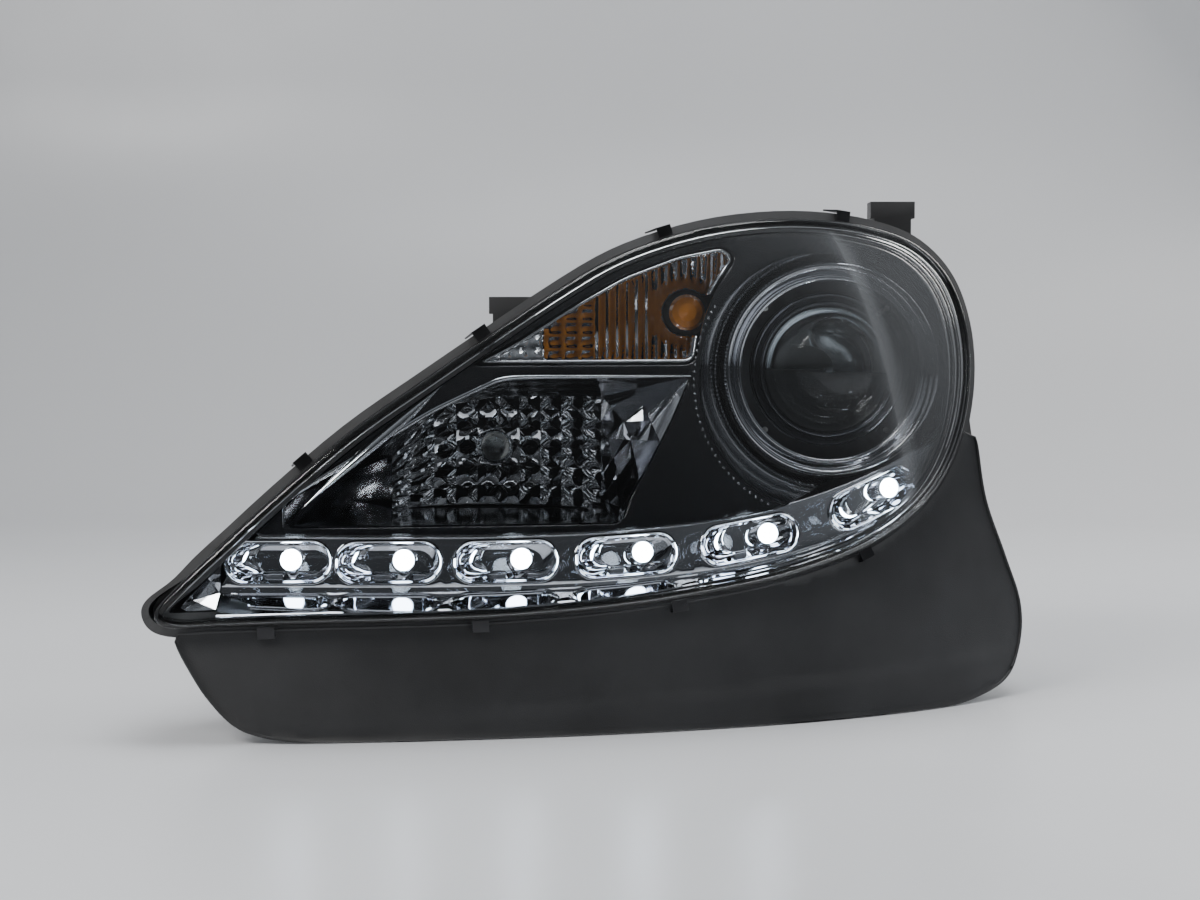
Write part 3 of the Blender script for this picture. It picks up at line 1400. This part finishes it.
# ------------------------------------------------------------------ wiring
def tube(name, stations, radius, material, body=ROOT, ribs=0.0, pitch=2.4, segments=14,
         replaces=None):
    """Tube along a smooth path, with ribs of that depth and pitch if asked."""
    knots = [Vector(p) for p in stations]
    path = []
    for i in range(len(knots) - 1):
        a, b, c, d = (knots[max(0, i - 1)], knots[i], knots[i + 1],
                      knots[min(len(knots) - 1, i + 2)])
        pieces = max(3, int((c - b).length / (pitch / 4 if ribs else 2.5)))
        for k in range(pieces):
            t = k / pieces
            path.append(0.5 * ((2 * b) + (c - a) * t + (2 * a - 5 * b + 4 * c - d) * t * t
                               + (3 * b - a - 3 * c + d) * t ** 3))
    path.append(knots[-1])
    rings, run, side = [], 0.0, None
    for i, point in enumerate(path):
        ahead = (path[min(i + 1, len(path) - 1)] - path[max(i - 1, 0)]).normalized()
        if side is None:
            side = ahead.cross(Vector((0, 0, 1))).normalized()
        side = (side - ahead * side.dot(ahead)).normalized()
        across = ahead.cross(side)
        if i:
            run += (point - path[i - 1]).length
        size = radius - ribs * 0.5 * (1 - cos(2 * pi * run / pitch))
        rings.append([tuple(point + side * size * cos(a) + across * size * sin(a))
                      for a in angles(segments)])
    form = Form()
    form.rings(rings, cap_first=True, cap_last=True)
    make(name, form, material, body=body, replaces=replaces, angle=50, merge=0)


# Leads behind each bulb: (name, first lead's material, bulb x, bulb z, x step of the last
# station, stations as (y, z from the bulb))
LEADS = [
    ("low", WIRE_RED, LOW_X, LOW_Z, 4,
     [(125.8, 0), (129, -1), (131, -8), (127, -22), (119, -40)]),
    ("high", WIRE_YELLOW, HIGH_X, HIGH_Z, 3,
     [(29.8, 0), (34, -1), (37.5, -7), (39, -18), (38, -30)]),
]
LEAD_OFFSET = 3.2
LEAD_SPREAD = (1, 1, 1.6, 2, 2)         # how the offset grows from station to station


def build_wiring():
    tube("harness_trunk",
         [(2, 139, 102), (2, 118, 94), (-28, 84, 90), (-60, 60, 78), (-105, 57, 77),
          (-150, 58, 77), (-176, 56, 77.5)],
         radius=2.4, material=LOOM_TAPE, ribs=0.35, pitch=2.2, replaces="wiring_harness")
    tube("harness_branch",
         [(-150, 58, 77), (-190, 40, 76), (-196, 10, 74), (-200, -30, 72)],
         radius=1.8, material=LOOM_TAPE, ribs=0.25, pitch=2.0)
    for beam, first_material, bulb_x, bulb_z, last_step, stations in LEADS:
        for letter, material, offset in (("a", first_material, -LEAD_OFFSET),
                                         ("b", WIRE_BLACK, LEAD_OFFSET)):
            steps = (0, 0, 0, 0, last_step)
            path = [(bulb_x + offset * spread + step, y, bulb_z + z)
                    for spread, step, (y, z) in zip(LEAD_SPREAD, steps, stations)]
            tube(f"{beam}_lead_{letter}", path, radius=0.95, material=material, body=CARRIER,
                 segments=10)


build_wiring()


# ------------------------------------------------------------------ stage, light, camera
# From here on sizes are in metres
def build_floor():
    """Pale floor that curves up into a back wall."""
    half_width, bend, bend_y = 3.0, 0.5, 1.1
    profile = [(-half_width, 0.0)]      # (y, z)
    for turn in range(0, 91, 6):
        profile.append((bend_y + bend * sin(radians(turn)), bend - bend * cos(radians(turn))))
    profile.append((bend_y + bend, 2.6))
    mesh = bpy.data.meshes.new("floor")
    bm = bmesh.new()
    left = [bm.verts.new((-half_width, y, z)) for y, z in profile]
    right = [bm.verts.new((half_width, y, z)) for y, z in profile]
    for i in range(len(profile) - 1):
        bm.faces.new((left[i], right[i], right[i + 1], left[i + 1])).smooth = True
    bm.to_mesh(mesh)
    bm.free()
    floor = bpy.data.objects.new("floor", mesh)
    mesh.materials.append(principled("pale_floor", color=(0.62, 0.63, 0.65), rough=0.35,
                                     bump=0.02, bump_scale=90, rough_var=0.05,
                                     color_var=0.015, patch_scale=3))
    bpy.context.scene.collection.objects.link(floor)
    floor.location.z = -0.0004


def build_world():
    """Reflections are darker below and towards the front; seen directly it is plain grey."""
    world = bpy.data.worlds.new("studio")
    bpy.context.scene.world = world
    world.use_nodes = True
    tree = world.node_tree
    tree.nodes.clear()
    direction = add_node(tree, "TexCoord").outputs["Generated"]
    axes = add_node(tree, "SeparateXYZ", {0: direction}).outputs

    height = map_range(tree, axes["Z"], source=(-1, 1), target=(0.0, 1.0))
    sky = color_ramp(tree, height, (0.40, (0.05, 0.052, 0.056, 1)),
                     (0.85, (0.75, 0.78, 0.82, 1)), (0.55, (0.30, 0.31, 0.33, 1)))
    frontness = map_range(tree, axes["Y"], source=(-0.9, 0.3), target=(0.16, 1.0))
    reflected = add_node(tree, "Background", Color=sky,
                         Strength=multiply(tree, frontness, 0.55))
    lift = map_range(tree, axes["Z"], source=(0.0, 0.4), target=(0.165, 0.36))
    backdrop = add_node(tree, "Background", Color=(0.975, 1.0, 1.03, 1), Strength=lift)
    seen = add_node(tree, "LightPath").outputs["Is Camera Ray"]
    mix = add_node(tree, "MixShader", {
        0: seen, 1: reflected.outputs[0], 2: backdrop.outputs[0]})
    add_node(tree, "OutputWorld", Surface=mix.outputs[0])


def add_aimed(name, data, location, target):
    """Adds a light or camera that looks at the target."""
    obj = bpy.data.objects.new(name, data)
    obj.location = location
    aim = Vector(target) - Vector(location)
    obj.rotation_euler = aim.to_track_quat("-Z", "Y").to_euler()
    bpy.context.scene.collection.objects.link(obj)
    return obj


def area_light(name, location, width, height, power, color, glossy=True):
    light = bpy.data.lights.new(name, "AREA")
    light.energy = power
    light.color = color
    light.shape = "RECTANGLE"
    light.size, light.size_y = width, height
    obj = add_aimed(name, light, location, target=(-0.12, -0.02, 0.13))
    obj.visible_glossy = glossy


build_floor()
build_world()
area_light("key_softbox", location=(-1.1, -1.0, 1.25), width=0.9, height=0.6, power=26,
           color=(1.0, 0.985, 0.96))
area_light("top_softbox", location=(0.0, 0.1, 1.5), width=1.3, height=0.8, power=19,
           color=(0.97, 0.985, 1.0))
area_light("fill_right", location=(1.55, -0.05, 0.75), width=0.5, height=1.1, power=9,
           color=(0.94, 0.97, 1.0), glossy=False)
area_light("rim_back", location=(0.9, 1.0, 0.9), width=0.8, height=0.8, power=10,
           color=(1.0, 0.98, 0.95))

camera = bpy.data.cameras.new("photo_camera")
camera.lens, camera.sensor_width = 69.0, 36.0
bpy.context.scene.camera = add_aimed("photo_camera", camera, (-0.121, -1.20842, 0.19319),
                                     target=(-0.121, -0.06, 0.133))
